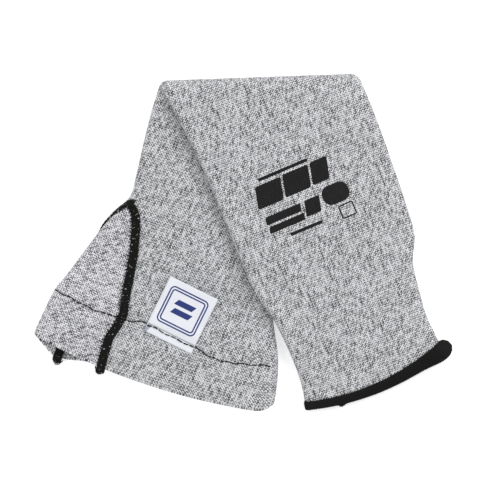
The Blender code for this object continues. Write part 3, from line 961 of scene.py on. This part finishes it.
class SLEEVE_OT_wrist_edge(SleeveOperator, bpy.types.Operator):
    """Make the overlocked edge round the wrist half's mouth"""

    bl_idname = "sleeve.wrist_edge"
    bl_label = "Wrist Edge"

    def execute(self, context):
        sizes = context.scene.sleeve_sizes
        radius = sizes.thread / MM / 2
        thread = thread_material("black_polyester_edge_overlocking")
        whole = 2 * WRIST_HALF.half_round(KNIT_END + 0.5)
        # the band's section: outside, round the end, inside; (share of the band, height from the middle of the knit)
        outside = [(0.02, 0.45), (0.08, 0.76), (0.2, 0.88), (0.35, 0.92), (0.5, 0.93), (0.65, 0.92), (0.8, 0.88),
                   (0.92, 0.76), (0.98, 0.5)]
        section = outside + [(1.0, 0.0)] + [(share, -above) for share, above in reversed(outside)]
        count = 220    # mesh columns round the edge

        def on_edge(around, band, above):
            station = KNIT_END + band
            ring = around * 2 * WRIST_HALF.half_round(station)
            point = WRIST_HALF.point(station, ring, proud=above)
            upper, near, is_left, _ = WRIST_HALF.split(station, ring)
            if not is_left:
                point += EDGE_SWELL * hump(near - EDGE_SWELL_AT, EDGE_SWELL_LENGTH) * max(band, 0.0) ** 2
                angle = math.radians(mix(EDGE_END_FROM, EDGE_END_TO, band))
                tip = EDGE_END + Vector((math.cos(angle), math.sin(angle), 0.0)) * (EDGE_END_RADIUS + above)
                tip.z = point.z
                point = point.lerp(tip, max(1 - near / EDGE_END_LENGTH, 0.0) ** 2)
            elif upper:
                point += EDGE_KNOT * hump(near - EDGE_KNOT_AT, EDGE_KNOT_LENGTH) * max(band, 0.0) ** 2
            point.z = max(point.z, radius)
            return point

        points = [on_edge(k / count, band, above) for band, above in section for k in range(count)]
        parts = (points, grid_faces(len(section), count, closed=True))
        dice = random.Random(5)
        stitches = round(whole / (sizes.seam_pitch / MM))
        slant = 0.9 / stitches
        for k in range(stitches):
            path = [(-0.03 - 0.06 * (k % 2), 0.35), (0.08, 0.86), (0.25, 1.0), (0.45, 1.06), (0.65, 1.05), (0.85, 0.98),
                    (0.97, 0.7), (1.0, 0.0), (0.97, -0.7), (0.6, -1.0), (0.1, -0.8)]
            path = [on_edge(k / stitches + slant * j / 10 + dice.uniform(-0.0003, 0.0003), band, above)
                    for j, (band, above) in enumerate(path)]
            tube(path, radius * dice.uniform(0.85, 1.12), THREAD_SIDES, parts)
        edge = add_piece("wrist_edge_overlock", *parts, thread)
        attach(edge, "wrist_half")
        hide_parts("wrist_edge_upper", "wrist_edge_lower")
        return {"FINISHED"}


class SLEEVE_OT_hem_stitching(SleeveOperator, bpy.types.Operator):
    """Make the thread that holds the hem, above and below"""

    bl_idname = "sleeve.hem_stitching"
    bl_label = "Hem Stitching"

    def execute(self, context):
        sizes = context.scene.sleeve_sizes
        radius = sizes.hem_thread / MM / 2
        thread = thread_material("black_polyester_sewing_thread")
        dice = random.Random(3)
        for name, upper in (("hem_stitching_upper", True), ("hem_stitching_lower", False)):
            parts = ([], [])
            for k in range(HEM_STITCHES):
                path = []
                for j in range(7):
                    along = (k + 0.04 + 0.92 * j / 6) / HEM_STITCHES
                    x, y = catmull(HEM_LINE, (len(HEM_LINE) - 1) * along)
                    y += 0.28 * math.sin(k * 2.1 + j * 0.4) + dice.uniform(-0.05, 0.05)
                    place = Vector((x, y, 0.0))
                    reach = ARM_HALF.reach(x, y) - ARM_HALF.sink(x, y, upper)
                    above = KNIT / 2 + mix(0.05, 0.4, math.sin(math.pi * j / 6))
                    place.z = ARM_HALF.middle(x, y) + (1 if upper else -1) * (reach + above)
                    from_middle = abs((place - LABEL_MIDDLE).dot(LABEL_ACROSS))
                    beside = sizes.label_width / MM / 2 + STITCH_PAST_LABEL - from_middle
                    if upper and beside > 0:
                        on_label = smoothstep(beside)
                        label_top = LABEL_BASE + LABEL_LIFT + LABEL_THICKNESS / 2
                        place.z = mix(place.z, label_top + above - STITCH_BITE, on_label)
                        place -= LABEL_UP * STITCH_OFF_BEND * on_label
                    place.z = max(place.z, radius)
                    path.append(place)
                tube(path, radius * dice.uniform(0.8, 1.15), THREAD_SIDES, parts)
            piece = add_piece(name + "_thread", *parts, thread)
            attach(piece, "arm_half")
            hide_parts(name)
        return {"FINISHED"}


def label_sheet(name, near, far, material, body, curl):
    """A stretch of the label, from near to far of the stitching line; curl lifts its far edge."""
    sizes = bpy.context.scene.sleeve_sizes
    width = sizes.label_width / MM
    rows, columns = max(round(abs(far - near)), 4) + 1, 31
    points, places = [], []
    for i in range(rows):
        v = mix(near, far, i / (rows - 1))
        for j in range(columns):
            u = width * (j / (columns - 1) - 0.5)
            place = LABEL_MIDDLE + LABEL_ACROSS * u + LABEL_UP * v
            share = abs(v) / LABEL_HEIGHT
            lift = curl * share ** 2 * (0.6 + 0.8 * (j / (columns - 1)) ** 2)
            wave = LABEL_WAVE * noise.noise(Vector((u / LABEL_WAVE_LENGTH, v / LABEL_WAVE_LENGTH, 4.0)))
            wave *= min(share * 5, 1.0)
            knit_top = KNIT + 2 * ARM_HALF.reach(place.x, place.y)
            z = max(mix(LABEL_BASE, knit_top, min(share * 6, 1.0)), LABEL_BASE) + LABEL_LIFT + lift + wave
            points.append((place.x, place.y, z))
            places.append((u, v))
    faces = grid_faces(rows, columns)
    if far < near:
        faces = [tuple(reversed(f)) for f in faces]
    piece = thicken(add_piece(name, points, faces, material, {"cloth": places}), LABEL_THICKNESS * MM)
    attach(piece, body)
    return piece


class SLEEVE_OT_label(SleeveOperator, bpy.types.Operator):
    """Make the woven label that is caught in the hem stitching"""

    bl_idname = "sleeve.label"
    bl_label = "Label"

    def execute(self, context):
        sizes = context.scene.sleeve_sizes
        height, tail = sizes.label_height / MM, sizes.label_tail / MM
        marked = label_material("white_satin_woven_mark", LABEL_MARKS, 1.0)
        face = label_sheet("woven_label_face", LABEL_SLIT, height, marked, "label", 1.0)
        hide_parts("label_face")
        # the tail's satin carries a painted blue-grey shade at its folded-in end
        tail_satin_with_shade = label_material("white_satin_woven", TAIL_FOLD_SHADE, 0.55)
        end = label_sheet("woven_label_tail", -LABEL_SLIT, -tail, tail_satin_with_shade, "arm_half", 0.0)
        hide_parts("label_tail")
        return {"FINISHED"}


class SLEEVE_OT_stage(SleeveOperator, bpy.types.Operator):
    """Make the pale floor, the soft light and the camera over the sleeve"""

    bl_idname = "sleeve.stage"
    bl_label = "Stage"

    def execute(self, context):
        scene = context.scene
        scene.view_settings.view_transform = "Standard"
        # matt board, lit a little from within so that the shadows stay faint
        board, _, _ = new_material("matt_white_board", Roughness=0.9, Specular_IOR_Level=0.1,
                                   Base_Color=srgb("#f6f6f6"), Emission_Color=(1.0, 1.0, 1.0, 1.0),
                                   Emission_Strength=0.45)
        mesh = bpy.data.meshes.new("floor")
        corners = [(-1, -1), (1, -1), (1, 1), (-1, 1)]
        mesh.from_pydata([(x * FLOOR_HALF, y * FLOOR_HALF, -0.1 * MM) for x, y in corners], [], [(0, 1, 2, 3)])
        mesh.materials.append(board)
        floor = add_object("floor", mesh)

        world = bpy.data.worlds.new("studio")
        world.use_nodes = True
        background = world.node_tree.nodes["Background"]
        background.inputs["Color"].default_value = (1.0, 1.0, 1.0, 1.0)
        background.inputs["Strength"].default_value = 0.66
        scene.world = world
        for name, place, width, power in LIGHTS:
            light = bpy.data.lights.new(name, "AREA")
            light.shape = "DISK"
            light.size = width
            light.energy = power
            lamp = add_object(name, light)
            lamp.location = place
            lamp.rotation_euler = (-Vector(place)).to_track_quat("-Z", "Y").to_euler()

        # straight down, turned a little so that the fold rises to the right
        lens = bpy.data.cameras.new("camera")
        lens.sensor_width = 36.0
        lens.lens = lens.sensor_width * (CAMERA_HEIGHT - FOLD_AXIS_Z * MM) / CAMERA_VIEW
        camera = add_object("camera", lens)
        aim = to_frame(CAMERA_AIM)
        camera.location = (aim.x, aim.y, CAMERA_HEIGHT)
        camera.rotation_euler = (0.0, 0.0, -CAMERA_TURN)
        scene.camera = camera
        return {"FINISHED"}


# -------- panel and registration

class SLEEVE_PT_panel(bpy.types.Panel):
    """The sleeve's pieces"""

    bl_label = "Arm Sleeve"
    bl_space_type = "VIEW_3D"
    bl_region_type = "UI"
    bl_category = "Arm Sleeve"

    def draw(self, context):
        for operator in OPERATORS:
            self.layout.operator(operator.bl_idname)
        for settings in (context.scene.sleeve_sizes, context.scene.sleeve_colours):
            box = self.layout.box()
            for key in settings.__annotations__:
                box.prop(settings, key)


OPERATORS = (
    SLEEVE_OT_arm_knit,
    SLEEVE_OT_wrist_knit,
    SLEEVE_OT_overlocking,
    SLEEVE_OT_wrist_edge,
    SLEEVE_OT_hem_stitching,
    SLEEVE_OT_label,
    SLEEVE_OT_stage,
)
CLASSES = (SleeveSizes, SleeveColours, *OPERATORS, SLEEVE_PT_panel)


def register():
    for item in CLASSES:
        bpy.utils.register_class(item)
    bpy.types.Scene.sleeve_sizes = bpy.props.PointerProperty(type=SleeveSizes)
    bpy.types.Scene.sleeve_colours = bpy.props.PointerProperty(type=SleeveColours)


def unregister():
    del bpy.types.Scene.sleeve_colours
    del bpy.types.Scene.sleeve_sizes
    for item in reversed(CLASSES):
        bpy.utils.unregister_class(item)


def main():
    register()
    for operator in OPERATORS:
        group, call = operator.bl_idname.split(".")
        getattr(getattr(bpy.ops, group), call)()


if __name__ == "__main__":
    main()
